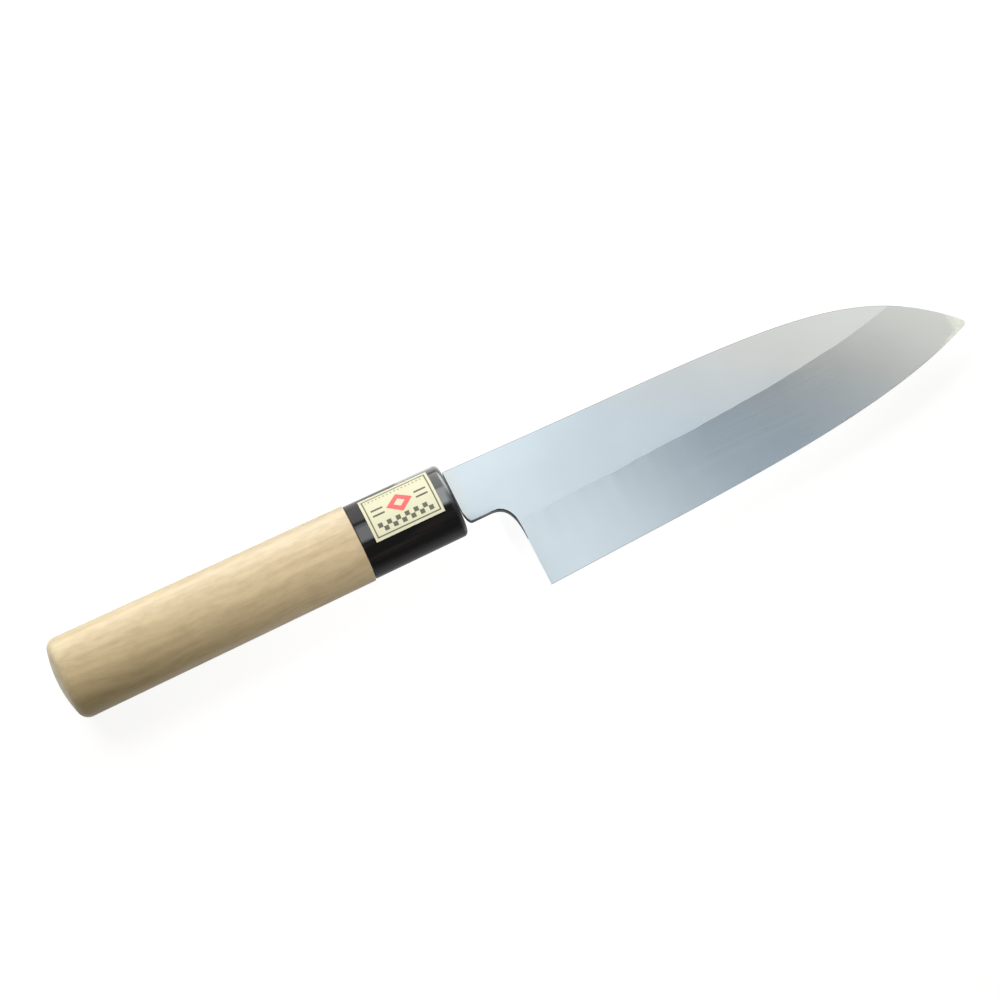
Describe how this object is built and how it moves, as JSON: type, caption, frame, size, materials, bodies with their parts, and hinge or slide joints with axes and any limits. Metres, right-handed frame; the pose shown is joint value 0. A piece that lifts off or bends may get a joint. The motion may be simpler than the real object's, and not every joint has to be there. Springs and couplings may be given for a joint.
{
  "type": "santoku knife",
  "caption": "Santoku kitchen knife: bevelled steel blade with a notch behind the heel, hidden tang, black ferrule with a paper label, and an oval pale wood handle.",
  "frame": {"origin": "middle of the underside as the knife lies on its left side: centre of its box seen from above, at the height of the lowest line of the handle", "axes": "+X along the handle's axis from butt to tip, +Y from the cutting edge to the spine, +Z out of the blade's right side, up as it lies"},
  "size_m": [0.293, 0.0496, 0.0194],
  "materials": {
    "blade_steel": "fine satin, ground along the blade on the flats and hazier on the bevel",
    "handle_wood": "pale close-grained wood, sanded and unvarnished",
    "ferrule_horn": "black horn, polished",
    "seal_resin": "cast resin, dull",
    "label_paper": "smooth pale yellow sticker paper with a plain printed frame"
  },
  "bodies": {
    "root": {"blade": "blade_steel", "handle": "handle_wood", "ferrule": "ferrule_horn", "tang_seal": "seal_resin", "label": "label_paper"}
  },
  "joints": []
}
